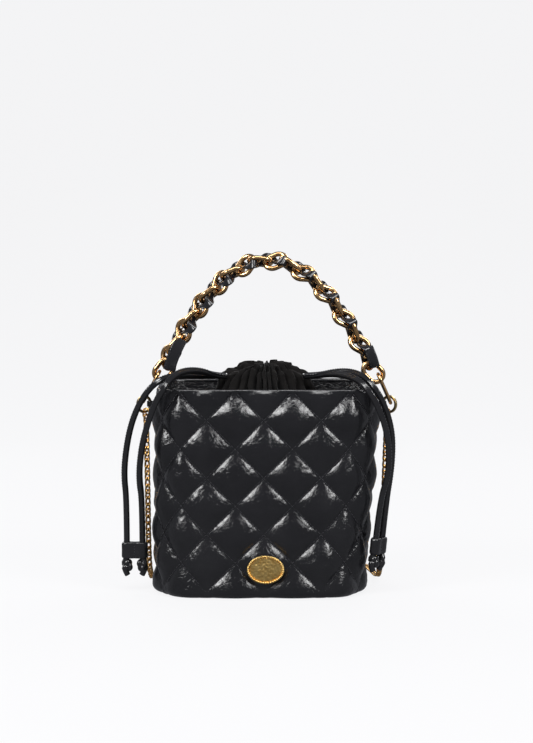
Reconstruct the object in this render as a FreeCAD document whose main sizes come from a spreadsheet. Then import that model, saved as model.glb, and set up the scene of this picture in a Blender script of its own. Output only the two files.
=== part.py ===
"""Quilted drawstring bucket bag with a chain handle.

Frame: origin at the centre of the base on the surface it stands on, +X to the
right, -Y to the front (the face with the plaque), +Z up.  Millimetres.
"""
import FreeCAD, Part
import math
import os
import Sketcher
from FreeCAD import Placement, Rotation, Vector

DRIVING = {
    # body shell: plan is a rounded rectangle, larger at the rim, leaning a little to the right
    "rim_height": 178.0,
    "rim_half_width": 100.0,
    "rim_half_depth": 62.0,
    "rim_corner": 30.0,
    "rim_shift": 6.5,
    "base_half_width": 94.0,
    "base_half_depth": 60.0,
    "base_corner": 46.0,
    "leather": 1.6,
    "foam": 3.5,
    "lining": 0.8,
    "facing": 1.4,
    "facing_depth": 28.0,
    "layer_gap": 0.2,
    "base_leather": 2.0,
    "base_board_depth": 2.4,
    # drawstring collar: funnel, neck and ruffle
    "collar_foot": 164.0,
    "collar_foot_half_width": 89.0,
    "collar_foot_half_depth": 53.5,
    "collar_foot_corner": 24.0,
    "collar_foot_cloth": 2.2,
    "collar_centre": 0.62,
    "neck_low": 183.0,
    "neck_high": 190.4,
    "ruffle_top": 196.0,
    "neck_half_width": 14.0,
    "neck_half_depth": 8.0,
    "neck_corner": 6.0,
    "mouth_half_width": 9.0,
    "mouth_half_depth": 5.8,
    "mouth_corner": 4.0,
    "ruffle_half_width": 33.0,
    "ruffle_half_depth": 21.0,
    "ruffle_corner": 18.0,
    "ruffle_root": 0.8,
    "collar_cloth": 1.6,
    # drawcords, knots and keepers
    "cord_diameter": 5.6,
    "cord_spacing": 13.6,
    "knot_diameter": 12.4,
    "keeper_thickness": 9.4,
    "keeper_height": 14.0,
    "keeper_bore": 6.0,
    "keeper_waist": 7.0,
    "keeper_rest": 0.35,
    # side rings and tabs
    "ring_mean_radius": 6.8,
    "ring_band": 2.3,
    "ring_edge": 0.55,
    "ring_turn": 38.0,
    "ring_height": 162.3,
    "tab_bore": 2.2,
    "tab_leather": 1.0,
    "tab_height": 5.0,
    "tab_tail": 2.6,
    "tab_standoff": 2.8,
    # handle chain and connecting links
    "link_length": 19.2,
    "link_width": 13.4,
    "link_wire": 3.9,
    "joiner_width": 11.4,
    "joiner_wire": 3.0,
    "arch_top": 288.0,
    "arch_centre": 7.0,
    "arch_half_span": 92.6,
    "arch_drop": 0.0113,
    "strip_width": 8.4,
    "strip_thickness": 1.8,
    # shoulder chain
    "chain_width": 5.6,
    # plaque
    "plaque_half_width": 16.0,
    "plaque_half_height": 12.0,
    "plaque_thickness": 2.0,
    "plaque_height": 25.6,
    "plaque_shift": 5.0,
    "post_radius": 0.8,
    "plaque_standoff": 0.35,
    "post_spacing": 14.0,
    "post_grip": 2.9,
    "post_root": 0.1,
    "washer_radius": 2.6,
    "washer_thickness": 0.6,
    "washer_play": 0.05,
    "washer_depth": 0.9,
}

# Play round a tab in its slot, and how far the slot's cut reaches to either side of the wall
SLOT_PLAY = 0.3
SLOT_REACH = 4.0

# Gap between the front and back panels at the side seams
SEAM_GAP = 0.1

# Angle off the keeper's middle plane where its round ends run into the waist
KEEPER_WRAP = 42.0

# Share of a run that the arc at its end takes up
CORNER_SHARE = 0.45

LINK_COUNT = 22
# Lean, yaw and roll of the handle's links, alternating, with those of its first and last link
LINK_EVEN = (32.0, 13.0, -37.0)
LINK_ODD = (-14.0, 4.0, 66.0)
LINK_FIRST = (-12.3, 0.0, 6.4)
LINK_LAST = (18.0, 1.0, 0.6)
# Woven strip at a link, between links, at the next link and between again: offset towards
# the front, offset outwards, and twist of its width from the plane of the arch, in degrees
STRIP_WEAVE = [(0.0, 0.0, 15.0), (-7.2, 2.6, -20.0), (-0.4, 0.0, -78.0), (7.3, -2.4, -30.0)]
# Shift (x, z) of the first and last link off the arch
FIRST_OFFSET = (1.46, 1.03)
LAST_OFFSET = (-0.2, -0.6)
# Connecting links: length between end centres, lean, roll, shift of the lower end from the ring's top
JOINERS = {"left": (19.1, 61.4, 90.0, (1.9, 0.2)), "right": (16.4, 113.6, 90.0, (-1.1, -0.6))}

# Routes of the free cords: control points of straight runs, joined by tangent arcs.
ROUTES = {
    "drawcord_front_left": [
        (-29, -15, 187.6), (-39, -16.8, 188.4), (-52, -29, 193.2), (-66, -43, 193.5), (-76, -57, 188),
        (-82, -65.5, 179.5), (-89, -63.5, 167), (-95.5, -57, 149), (-101, -49, 129), (-104.2, -38, 104),
        (-102.5, -21, 79), (-102.5, -21, 28.5)],
    "drawcord_back_left": [
        (-29, -0.5, 187.4), (-45, -12, 187.3), (-62, -27, 188.8), (-76, -43, 189),
        (-87.5, -54.5, 185.5), (-97, -57, 175.5), (-105, -52, 161.5), (-111, -45.5, 145),
        (-115.4, -37.5, 124), (-117.8, -28, 102), (-116.1, -21, 79), (-116.1, -21, 28.5)],
    "drawcord_front_right": [
        (38, -15.5, 187.4), (49, -17.5, 188.2), (62, -29, 190.2), (75, -44.5, 189.6), (86, -60, 185.5),
        (94.5, -66.5, 175.5), (101, -64, 162.5), (106.5, -61, 148), (110, -56.5, 130),
        (110.2, -50, 106), (103.1, -41, 80), (98.6, -41, 35)],
    "drawcord_back_right": [
        (38, -1.6, 187.4), (49, -8.7, 187.8), (65.4, -22.6, 191.6), (79.6, -38.6, 192.4),
        (91, -53, 188), (99.5, -61, 177.5), (105.5, -59, 166), (110.5, -54.5, 152), (113.5, -49.5, 136),
        (113.4, -42, 112), (109.5, -29, 79.4), (105, -29, 34.4)],
    "drawcord_front_channel": [
        (-29, -15, 187.6), (-19, -13.2, 186.8), (-6, -12.6, 186.4), (15, -12.7, 186.4),
        (27, -13.5, 186.6), (38, -15.5, 187.4)],
    "drawcord_back_channel": [
        (-28.8, -0.38, 187.4), (-8, 12.6, 186.6), (16, 12.6, 186.6), (37.8, -1.46, 187.4)],
    "shoulder_chain": [
        (-100, -4.8, 152), (-99.2, -4.2, 112), (-98.8, -2.4, 72), (-98.6, 0, 40),
        (-98.2, 5.5, 17), (-97.2, 19, 4.6), (-95.6, 40, 3), (-89, 63, 3), (-71, 81, 3),
        (-40, 86, 3), (0, 81.5, 3), (38, 84, 3), (67, 82, 3), (79.5, 102, 3), (68, 123, 3),
        (38, 125, 3), (0, 121, 3), (-38, 125, 3), (-68, 122, 3), (-80.5, 142, 3), (-69, 163, 3),
        (-38, 161, 3), (0, 164, 3), (36, 160, 3), (66, 151, 3), (88, 128, 3), (98, 97, 3),
        (103, 64, 3), (105.5, 36, 3.4), (106.4, 16, 9), (107, 5, 27), (108.6, 1, 56), (109.8, -2, 96),
        (111.5, -4.8, 152)],
}


def add_sheet(doc):
    """Put the driving dimensions in a spreadsheet, one alias a row."""
    sheet = doc.addObject("Spreadsheet::Sheet", "Sizes")
    for row, (name, value) in enumerate(DRIVING.items(), start=1):
        sheet.set("A%d" % row, name)
        sheet.set("B%d" % row, repr(value))
        sheet.setAlias("B%d" % row, name)
    doc.recompute()
    return sheet


DOC = FreeCAD.newDocument("BucketBag")
SHEET = add_sheet(DOC)
NODES = []


def size(name):
    """Value of one driving dimension, in mm."""
    return float(SHEET.get(name))


def bind(obj, path, expression):
    """Bind a property to the sheet; names in the expression are aliases of the sheet."""
    words = sorted(DRIVING, key=len, reverse=True)
    out = ""
    index = 0
    while index < len(expression):
        word = next((w for w in words if expression.startswith(w, index)), None)
        if word:
            out += "Sizes." + word
            index += len(word)
        else:
            out += expression[index]
            index += 1
    obj.setExpression(path, out)


def new_body(label):
    """A PartDesign body that is one sub-part."""
    body = DOC.addObject("PartDesign::Body", label)
    body.Label = label
    NODES.append(body)
    return body


def origin_plane(body, role):
    """One of the body's own origin planes."""
    return next(f for f in body.Origin.OriginFeatures if f.Role == role)


def new_sketch(body, name, role="XY_Plane"):
    """A sketch on one of the body's origin planes."""
    sketch = body.newObject("Sketcher::SketchObject", name)
    sketch.AttachmentSupport = [(origin_plane(body, role), "")]
    sketch.MapMode = "FlatFace"
    return sketch


def line(sketch, start, end):
    """Add a straight edge and return its index."""
    return sketch.addGeometry(Part.LineSegment(Vector(*start, 0), Vector(*end, 0)), False)


def distance(sketch, kind, terms, value, expression):
    """Add a dimensional constraint and bind it to the sheet."""
    index = sketch.addConstraint(Sketcher.Constraint(kind, *terms, value))
    bind(sketch, "Constraints[%d]" % index, expression)


def rounded_rectangle(sketch, half_width, half_depth, corner, exprs):
    """A rounded rectangle centred on the sketch's origin, sized from the sheet."""
    w, d, r = half_width, half_depth, corner
    arc_at = [(w - r, d - r, 0), (-w + r, d - r, 90), (-w + r, -d + r, 180), (w - r, -d + r, 270)]
    sides = [line(sketch, (w, -d + r), (w, d - r)), line(sketch, (w - r, d), (-w + r, d)),
             line(sketch, (-w, d - r), (-w, -d + r)), line(sketch, (-w + r, -d), (w - r, -d))]
    arcs = []
    for cx, cy, start in arc_at:
        circle = Part.Circle(Vector(cx, cy, 0), Vector(0, 0, 1), r)
        arc = Part.ArcOfCircle(circle, math.radians(start), math.radians(start + 90))
        arcs.append(sketch.addGeometry(arc, False))
    for k in range(4):
        sketch.addConstraint(Sketcher.Constraint("Tangent", sides[k], 2, arcs[k], 1))
        sketch.addConstraint(Sketcher.Constraint("Tangent", arcs[k], 2, sides[(k + 1) % 4], 1))
    for k in range(3):
        sketch.addConstraint(Sketcher.Constraint("Equal", arcs[k], arcs[k + 1]))
    sketch.addConstraint(Sketcher.Constraint("Vertical", sides[0]))
    sketch.addConstraint(Sketcher.Constraint("Horizontal", sides[1]))
    # the centre of the first corner arc mirrors that of the third about the origin
    sketch.addConstraint(Sketcher.Constraint("Symmetric", arcs[0], 3, arcs[2], 3, -1, 1))
    distance(sketch, "DistanceX", (-1, 1, sides[0], 1), w, exprs[0])
    distance(sketch, "DistanceY", (-1, 1, sides[1], 1), d, exprs[1])
    distance(sketch, "Radius", (arcs[0],), r, exprs[2])


def plan_sketch(body, name, height, insets, height_expr):
    """Plan of the body at a height, inset by named thicknesses; sizes are linear in the height."""
    share = height / size("rim_height")
    inset = sum(size(n) for n in insets)
    tail = "".join(" - " + n for n in insets)
    ratio = "(%s) / rim_height" % height_expr
    values = []
    exprs = []
    for part in ("_half_width", "_half_depth", "_corner"):
        low = size("base" + part)
        values.append(low + (size("rim" + part) - low) * share - inset)
        exprs.append("base%s + (rim%s - base%s) * %s%s" % (part, part, part, ratio, tail))
    sketch = new_sketch(body, name)
    rounded_rectangle(sketch, *values, exprs)
    bind(sketch, "AttachmentOffset.Base.x", "rim_shift * " + ratio)
    bind(sketch, "AttachmentOffset.Base.z", height_expr)
    return sketch


def loft(body, name, sections, subtract=False):
    """Ruled loft through sketches."""
    kind = "PartDesign::SubtractiveLoft" if subtract else "PartDesign::AdditiveLoft"
    feature = body.newObject(kind, name)
    feature.Profile = sections[0]
    feature.Sections = sections[1:]
    feature.Ruled = True
    body.Tip = feature
    return feature


def tapered_layer(label, low, high, outer, inner, low_expr, high_expr):
    """A layer of the body between two insets and two heights; inner=None makes it a plate."""
    body = new_body(label)
    bottom = plan_sketch(body, label + "_low", low, outer, low_expr)
    top = plan_sketch(body, label + "_high", high, outer, high_expr)
    loft(body, label + "_solid", [bottom, top])
    if inner is not None:
        bottom = plan_sketch(body, label + "_low_in", low, inner, low_expr)
        top = plan_sketch(body, label + "_high_in", high, inner, high_expr)
        loft(body, label + "_hollow", [bottom, top], subtract=True)
    return body


def rectangle(sketch, low, high):
    """A closed rectangle between two corners."""
    (x0, y0), (x1, y1) = low, high
    corners = [(x0, y0), (x1, y0), (x1, y1), (x0, y1)]
    for start, end in zip(corners, corners[1:] + corners[:1]):
        line(sketch, start, end)


def wall_at(height, side):
    """X of the outside of the side wall at a height; side is +1 for right, -1 for left."""
    share = height / size("rim_height")
    half = size("base_half_width") + (size("rim_half_width") - size("base_half_width")) * share
    return size("rim_shift") * share + side * half


def rim_outer_edges(shape):
    """Names of the edges along the outside of the rim."""
    names = []
    half_width = size("rim_half_width")
    half_depth = size("rim_half_depth")
    corner = size("rim_corner")
    for k, edge in enumerate(shape.Edges, start=1):
        middle = edge.valueAt((edge.FirstParameter + edge.LastParameter) / 2)
        at_rim = all(abs(v.Z - size("rim_height")) < 0.01 for v in edge.Vertexes)
        across = max(abs(middle.x - size("rim_shift")) - half_width + corner, 0)
        along = max(abs(middle.y) - half_depth + corner, 0)
        if at_rim and math.hypot(across, along) > corner - 0.2:
            names.append("Edge%d" % k)
    return names


def make_shell_half(label, side):
    """Front (side -1) or back (side +1) quilted leather panel, from one side seam to the other."""
    body = tapered_layer(label, 0.0, size("rim_height"), (), ("leather",), "0", "rim_height")
    cut = new_sketch(body, label + "_seam")
    reach = 140.0
    rectangle(cut, (-reach, SEAM_GAP / 2 * side), (reach, -reach * side))
    pocket = body.newObject("PartDesign::Pocket", label + "_half")
    pocket.Profile = cut
    pocket.Type = "ThroughAll"
    pocket.Midplane = True
    body.Tip = pocket
    # slots in the side seams for the tabs that hold the rings
    slot = new_sketch(body, label + "_slots", "XZ_Plane")
    half = size("tab_height") / 2 + SLOT_PLAY
    for hand in (-1, 1):
        wall = wall_at(size("ring_height"), hand)
        rectangle(slot, (wall - SLOT_REACH, size("ring_height") - half),
                  (wall + SLOT_REACH, size("ring_height") + half))
    notch = body.newObject("PartDesign::Pocket", label + "_notch")
    notch.Profile = slot
    notch.Midplane = True
    bind(notch, "Length", "2 * (tab_bore + tab_leather + 0.2)")
    body.Tip = notch
    DOC.recompute()
    worn = body.newObject("PartDesign::Chamfer", label + "_rim_edge")
    worn.Base = (notch, rim_outer_edges(notch.Shape))
    bind(worn, "Size", "leather - 0.2")
    body.Tip = worn
    return body


def make_body_layers():
    """Everything the bucket is laid up from, outside to inside."""
    make_shell_half("quilted_body_front", -1)
    make_shell_half("quilted_body_back", 1)
    under = ("leather", "layer_gap")
    lined = ("leather", "foam", "layer_gap", "layer_gap")
    tapered_layer("quilt_padding", 4.8, 177.0, under, ("leather", "foam", "layer_gap"),
                  "base_leather + base_board_depth + 2 * layer_gap", "rim_height - 1")
    tapered_layer("base_panel", 0.0, size("base_leather"), under, None, "0", "base_leather")
    tapered_layer("base_board", 2.2, 4.6, under, None, "base_leather + layer_gap",
                  "base_leather + base_board_depth + layer_gap")
    tapered_layer("lining_floor", 4.8, 5.6, lined, None, "base_leather + base_board_depth + 2 * layer_gap",
                  "base_leather + base_board_depth + 2 * layer_gap + lining")
    tapered_layer("lining_wall", 5.8, 149.8, lined, lined + ("lining",),
                  "base_leather + base_board_depth + 3 * layer_gap + lining",
                  "rim_height - facing_depth - layer_gap")
    tapered_layer("rim_facing", 150.0, 178.0, lined, lined + ("facing",), "rim_height - facing_depth",
                  "rim_height")


def collar_section(body, name, plan, height, inset=None):
    """One level of the collar, centred over the neck: a named plan, inset by a named thickness."""
    sketch = new_sketch(body, name)
    sides = [plan + "_half_width", plan + "_half_depth", plan + "_corner"]
    less = size(inset) if inset else 0.0
    tail = " - " + inset if inset else ""
    rounded_rectangle(sketch, *[size(n) - less for n in sides], [n + tail for n in sides])
    bind(sketch, "AttachmentOffset.Base.x", "rim_shift * collar_centre")
    bind(sketch, "AttachmentOffset.Base.z", height)
    return sketch


def make_collar():
    """Gathered cloth mouth: a funnel from the rim up to the neck, and the ruffle above it."""
    body = new_body("drawstring_collar")
    outer = [collar_section(body, "collar_foot", "collar_foot", "collar_foot"),
             collar_section(body, "collar_neck_low", "neck", "neck_low"),
             collar_section(body, "collar_neck_high", "neck", "neck_high"),
             collar_section(body, "collar_flare", "ruffle", "neck_high + ruffle_root"),
             collar_section(body, "collar_top", "ruffle", "ruffle_top")]
    loft(body, "collar_solid", outer)
    # the foot's hollow starts below the foot and the mouth's ends above the ruffle, so both cut through
    inner = [collar_section(body, "collar_foot_in", "collar_foot", "collar_foot - 0.6", "collar_foot_cloth"),
             collar_section(body, "collar_slope_in", "neck", "neck_low - collar_cloth"),
             collar_section(body, "collar_mouth_low", "mouth", "neck_low"),
             collar_section(body, "collar_mouth_high", "mouth", "ruffle_top + 1")]
    loft(body, "collar_hollow", inner, subtract=True)


def corner_arc(before, corner, after):
    """Start, middle and end of the tangent arc at a corner; it takes most of half the shorter run."""
    back = before - corner
    ahead = after - corner
    reach = CORNER_SHARE * min(back.Length, ahead.Length)
    back.normalize()
    ahead.normalize()
    half_turn = (math.pi - back.getAngle(ahead)) / 2
    radius = reach / math.tan(half_turn)
    inward = (back + ahead).normalize()
    centre = corner + inward * (radius / math.cos(half_turn))
    middle = centre - inward * radius
    return corner + back * reach, middle, corner + ahead * reach


def route_wire(points):
    """Straight runs joined by tangent arcs."""
    edges = []
    at = points[0]
    for before, corner, after in zip(points, points[1:], points[2:]):
        start, middle, end = corner_arc(before, corner, after)
        edges.append(Part.LineSegment(at, start).toShape())
        edges.append(Part.Arc(start, middle, end).toShape())
        at = end
    edges.append(Part.LineSegment(at, points[-1]).toShape())
    return Part.Wire(edges)


def make_tube(label, diameter):
    """Round tube along a cord's route."""
    points = [Vector(*p) for p in ROUTES[label]]
    wire = route_wire(points)
    section = Part.Wire(Part.Circle(points[0], points[1] - points[0], diameter / 2).toShape())
    part = DOC.addObject("Part::Feature", label)
    part.Label = label
    part.Shape = wire.makePipeShell([section], True, False)
    NODES.append(part)
    print("%s: %.0f mm long" % (label, wire.Length))


def make_knot(label, cord):
    """Knot at the lower end of a strand: a plain ball that the strand's end face sits on."""
    end = Vector(*ROUTES[cord][-1])
    run = (end - Vector(*ROUTES[cord][-2])).normalize()
    radius = size("knot_diameter") / 2
    seat = math.sqrt(radius ** 2 - (size("cord_diameter") / 2) ** 2)
    ball = DOC.addObject("Part::Sphere", label + "_ball")
    bind(ball, "Radius", "knot_diameter / 2")
    ball.Placement = Placement(end + run * seat, Rotation())
    flat = DOC.addObject("Part::Cylinder", label + "_flat")
    bind(flat, "Radius", "knot_diameter")
    bind(flat, "Height", "knot_diameter")
    flat.Placement = Placement(end, Rotation(Vector(0, 0, 1), run * -1))
    knot = DOC.addObject("Part::Cut", label)
    knot.Base = ball
    knot.Tool = flat
    knot.Label = label
    NODES.append(knot)


def make_keeper(label, cords):
    """Leather band with two channels, pinched between them, that slides on a pair of strands."""
    low = [Vector(*ROUTES[c][-1]) for c in cords]
    run = (Vector(*ROUTES[cords[0]][-2]) - low[0]).normalize()
    across = (low[1] - low[0])
    across = (across - run * across.dot(run)).normalize()
    body = new_body(label)
    sketch = new_sketch(body, label + "_outline")
    half = size("cord_spacing") / 2
    round_r = size("keeper_thickness") / 2
    waist = size("keeper_waist") / 2
    angle = math.radians(KEEPER_WRAP)
    touch = (half - round_r * math.cos(angle), round_r * math.sin(angle))
    for hand in (-1, 1):
        outer = Part.Circle(Vector(hand * half, 0, 0), Vector(0, 0, 1), round_r)
        start = -(math.pi - angle) if hand == 1 else angle
        sketch.addGeometry(Part.ArcOfCircle(outer, start, start + 2 * (math.pi - angle)), False)
    for sign in (-1, 1):
        bow = Part.Arc(Vector(-touch[0], sign * touch[1], 0), Vector(0, sign * waist, 0),
                       Vector(touch[0], sign * touch[1], 0))
        sketch.addGeometry(bow, False)
    for hand in (-1, 1):
        bore = Part.Circle(Vector(hand * half, 0, 0), Vector(0, 0, 1), size("keeper_bore") / 2)
        index = sketch.addGeometry(bore, False)
        distance(sketch, "Diameter", (index,), size("keeper_bore"), "keeper_bore")
        sketch.addConstraint(Sketcher.Constraint("PointOnObject", index, 3, -1))
        terms = (-1, 1, index, 3) if hand == 1 else (index, 3, -1, 1)
        distance(sketch, "DistanceX", terms, half, "cord_spacing / 2")
    pad = body.newObject("PartDesign::Pad", label + "_pad")
    pad.Profile = sketch
    bind(pad, "Length", "keeper_height")
    body.Tip = pad
    centre = (low[0] + low[1]) / 2 + run * size("keeper_rest")
    body.Placement = Placement(centre, Rotation(across, Vector(), run, "ZXY"))


def ring_hold(side):
    """Where a side tab holds its ring: the axis that the ring turns on."""
    return Vector(wall_at(size("ring_height"), side) + side * size("tab_standoff"), 0, size("ring_height"))


def ring_centre(side):
    """Centre of a side ring, turned towards the front."""
    turn = math.radians(size("ring_turn"))
    reach = Vector(side * math.cos(turn), -math.sin(turn), 0) * size("ring_mean_radius")
    return ring_hold(side) + reach


def ring_top(side):
    """Middle of the ring's wire at its top, where the handle swings."""
    return ring_centre(side) + Vector(0, 0, size("ring_mean_radius"))


def make_ring(label, side):
    """Flat round ring."""
    body = new_body(label)
    sketch = new_sketch(body, label + "_circles", "XZ_Plane")
    for sign in (-1, 1):
        radius = size("ring_mean_radius") + sign * size("ring_band") / 2
        index = sketch.addGeometry(Part.Circle(Vector(0, 0, 0), Vector(0, 0, 1), radius), False)
        sketch.addConstraint(Sketcher.Constraint("Coincident", index, 3, -1, 1))
        distance(sketch, "Radius", (index,), radius, "ring_mean_radius %s ring_band / 2" % "-+"[sign > 0])
    pad = body.newObject("PartDesign::Pad", label + "_pad")
    pad.Profile = sketch
    pad.Midplane = True
    bind(pad, "Length", "ring_band")
    body.Tip = pad
    DOC.recompute()
    rounding = body.newObject("PartDesign::Fillet", label + "_round")
    rounding.Base = (pad, ["Edge%d" % (k + 1) for k, e in enumerate(pad.Shape.Edges) if len(e.Vertexes) == 1])
    bind(rounding, "Radius", "ring_edge")
    body.Tip = rounding
    body.Placement = Placement(ring_centre(side), Rotation(Vector(0, 0, 1), -side * size("ring_turn")))


def make_tab(label, side):
    """Leather loop sewn into the side seam, folded round the ring's wire."""
    body = new_body(label)
    sketch = new_sketch(body, label + "_plan")
    outer = size("tab_bore") + size("tab_leather")
    tail = size("tab_tail") / 2
    angle = math.asin(tail / outer)
    depth = size("tab_standoff") + size("leather")
    circle = Part.Circle(Vector(0, 0, 0), Vector(0, 0, 1), outer)
    sketch.addGeometry(Part.ArcOfCircle(circle, -math.pi + angle, math.pi - angle), False)
    near = -outer * math.cos(angle)
    line(sketch, (near, tail), (-depth, tail))
    line(sketch, (-depth, tail), (-depth, -tail))
    line(sketch, (-depth, -tail), (near, -tail))
    index = sketch.addGeometry(Part.Circle(Vector(0, 0, 0), Vector(0, 0, 1), size("tab_bore")), False)
    distance(sketch, "Radius", (index,), size("tab_bore"), "tab_bore")
    pad = body.newObject("PartDesign::Pad", label + "_pad")
    pad.Profile = sketch
    pad.Midplane = True
    bind(pad, "Length", "tab_height")
    body.Tip = pad
    turn = Rotation() if side > 0 else Rotation(Vector(0, 0, 1), 180)
    body.Placement = Placement(ring_hold(side), turn)


def oval_link(label, length, width, wire, placement):
    """Closed oval link of round wire: two half tori and two straight rods."""
    straight = "(%s - %s)" % (length, width)
    pieces = []
    for hand in (-1, 1):
        end = DOC.addObject("Part::Torus", "%s_end_%d" % (label, hand + 1))
        bind(end, "Radius1", "(%s) / 2" % width)
        bind(end, "Radius2", "%s / 2" % wire)
        end.Angle3 = 180
        end.Placement = Placement(Vector(), Rotation(Vector(0, 0, 1), -90 * hand))
        bind(end, "Placement.Base.x", "%d * %s / 2" % (hand, straight))
        pieces.append(end)
        rod = DOC.addObject("Part::Cylinder", "%s_rod_%d" % (label, hand + 1))
        bind(rod, "Radius", "%s / 2" % wire)
        bind(rod, "Height", straight)
        rod.Placement = Placement(Vector(), Rotation(Vector(0, 1, 0), 90))
        bind(rod, "Placement.Base.x", "-%s / 2" % straight)
        bind(rod, "Placement.Base.y", "%d * (%s) / 2" % (hand, width))
        pieces.append(rod)
    link = DOC.addObject("Part::MultiFuse", label)
    link.Shapes = pieces
    link.Label = label
    link.Placement = placement
    NODES.append(link)


def view_turn(lean, yaw, roll):
    """Rotation given as seen from the front: lean in the front plane, then yaw, then roll."""
    to_row = Rotation(Vector(1, 0, 0), 90)
    turn = Rotation(Vector(0, 0, 1), lean)
    turn = turn.multiply(Rotation(Vector(0, 1, 0), yaw))
    turn = turn.multiply(Rotation(Vector(1, 0, 0), roll))
    return to_row.multiply(turn)


def arch_point(x):
    """Point of the handle's arch over x."""
    y = ring_top(1).y
    return Vector(x, y, size("arch_top") - size("arch_drop") * (x - size("arch_centre")) ** 2)


def arch_lean(x):
    """Angle of the arch's tangent, degrees."""
    return math.degrees(math.atan(-2 * size("arch_drop") * (x - size("arch_centre"))))


def arch_stations(count):
    """X of evenly spaced points along the arch."""
    half = size("arch_half_span")
    steps = 4000
    xs = [-half + 2 * half * k / steps for k in range(steps + 1)]
    run = [0.0]
    for a, b in zip(xs, xs[1:]):
        slope = 2 * size("arch_drop") * (a + b) / 2
        run.append(run[-1] + (b - a) * math.sqrt(1 + slope ** 2))
    stations = []
    for k in range(count):
        want = run[-1] * k / (count - 1)
        index = min(range(len(run)), key=lambda j: abs(run[j] - want))
        stations.append(xs[index] + size("arch_centre"))
    return stations


def make_handle_links():
    """The handle's chain: tilted ovals alternate with rolled ones, so each hooks its neighbours."""
    for k, x in enumerate(arch_stations(LINK_COUNT)):
        lean, yaw, roll = LINK_EVEN if k % 2 else LINK_ODD
        place = arch_point(x)
        if k == 0:
            lean, yaw, roll = LINK_FIRST
            place += Vector(FIRST_OFFSET[0], 0, FIRST_OFFSET[1])
        if k == LINK_COUNT - 1:
            lean, yaw, roll = LINK_LAST
            place += Vector(LAST_OFFSET[0], 0, LAST_OFFSET[1])
        turn = view_turn(arch_lean(x) + lean, yaw, roll)
        label = "handle_link_%02d" % (k + 1)
        oval_link(label, "link_length", "link_width", "link_wire", Placement(place, turn))


def make_joiners():
    """Long oval links between the rings and the handle's chain."""
    for side, name in ((-1, "left"), (1, "right")):
        reach, lean, roll, shift = JOINERS[name]
        along = Vector(math.cos(math.radians(lean)), 0, math.sin(math.radians(lean)))
        place = ring_top(side) + Vector(shift[0], 0, shift[1]) + along * (reach / 2)
        oval_link("connecting_link_" + name, "(%s + joiner_width)" % reach, "joiner_width", "joiner_wire",
                  Placement(place, view_turn(lean, 0, roll)))


def strip_section(index, x):
    """Centre and width direction of the woven strip at one station of the arch."""
    front, rise, twist = STRIP_WEAVE[index % 4]
    lean = math.radians(arch_lean(x))
    outward = Vector(-math.sin(lean), 0, math.cos(lean))
    toward = Vector(0, -1, 0)
    centre = arch_point(x) + toward * front + outward * rise
    turn = math.radians(twist)
    return centre, outward * math.cos(turn) + toward * math.sin(turn)


def make_strip():
    """Leather strip woven through the chain, passing in front of every second crossing."""
    stations = list(enumerate(arch_stations(2 * LINK_COUNT - 1)))[1:-1]
    sections = [strip_section(index, x) for index, x in stations]
    spine = Part.BSplineCurve()
    spine.interpolate([centre for centre, _ in sections])
    rails = []
    for across, through in ((1, 1), (1, -1), (-1, -1), (-1, 1)):
        points = []
        for centre, width in sections:
            tangent = spine.tangent(spine.parameter(centre))[0]
            face = tangent.cross(width).normalize()
            points.append(centre + width * (across * size("strip_width") / 2)
                          + face * (through * size("strip_thickness") / 2))
        rail = Part.BSplineCurve()
        rail.interpolate(points)
        rails.append(rail.toShape())
    faces = [Part.makeRuledSurface(rails[k], rails[(k + 1) % 4]) for k in range(4)]
    for end in (0, -1):
        corners = [rail.Vertexes[end].Point for rail in rails]
        faces.append(Part.Face(Part.makePolygon(corners + corners[:1])))
    shell = Part.makeShell(faces)
    shell.sewShape()
    part = DOC.addObject("Part::Feature", "handle_leather_strip")
    part.Label = "handle_leather_strip"
    part.Shape = Part.makeSolid(shell)
    NODES.append(part)


def make_plaque():
    """Oval plaque with two posts, and the washers that hold it from inside the padding."""
    lean = (size("rim_half_depth") - size("base_half_depth")) / size("rim_height")
    wall = -(size("base_half_depth") + lean * size("plaque_height"))
    back = wall - size("plaque_standoff")
    place = Vector(size("plaque_shift"), back, size("plaque_height"))
    oval = DOC.addObject("Part::Ellipse", "plaque_outline")
    bind(oval, "MajorRadius", "plaque_half_width")
    bind(oval, "MinorRadius", "plaque_half_height")
    disc = DOC.addObject("Part::Extrusion", "plaque_disc")
    disc.Base = oval
    disc.DirMode = "Custom"
    disc.Dir = Vector(0, 0, 1)
    disc.Solid = True
    bind(disc, "LengthFwd", "plaque_thickness")
    pieces = [disc]
    for hand in (-1, 1):
        post = DOC.addObject("Part::Cylinder", "plaque_post_%d" % (hand + 1))
        bind(post, "Radius", "post_radius")
        bind(post, "Height", "leather + layer_gap + post_grip")
        post.Placement = Placement(Vector(0, 0, 0), Rotation(Vector(1, 0, 0), 180))
        bind(post, "Placement.Base.x", "%d * post_spacing / 2" % hand)
        bind(post, "Placement.Base.z", "post_root")
        pieces.append(post)
    plaque = DOC.addObject("Part::MultiFuse", "emblem_plaque")
    plaque.Shapes = pieces
    plaque.Label = "emblem_plaque"
    plaque.Placement = Placement(place, Rotation(Vector(1, 0, 0), 90))
    NODES.append(plaque)
    body = new_body("emblem_washers")
    sketch = new_sketch(body, "washer_circles")
    for hand in (-1, 1):
        for radius, expr in ((size("washer_radius"), "washer_radius"),
                             (size("post_radius") + size("washer_play"), "post_radius + washer_play")):
            x = hand * size("post_spacing") / 2
            index = sketch.addGeometry(Part.Circle(Vector(x, 0, 0), Vector(0, 0, 1), radius), False)
            distance(sketch, "Radius", (index,), radius, expr)
    pad = body.newObject("PartDesign::Pad", "washer_pad")
    pad.Profile = sketch
    bind(pad, "Length", "washer_thickness")
    body.Tip = pad
    inner = Vector(place.x, wall + size("leather") + size("layer_gap") + size("washer_depth"), place.z)
    body.Placement = Placement(inner, Rotation(Vector(1, 0, 0), 90))


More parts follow.
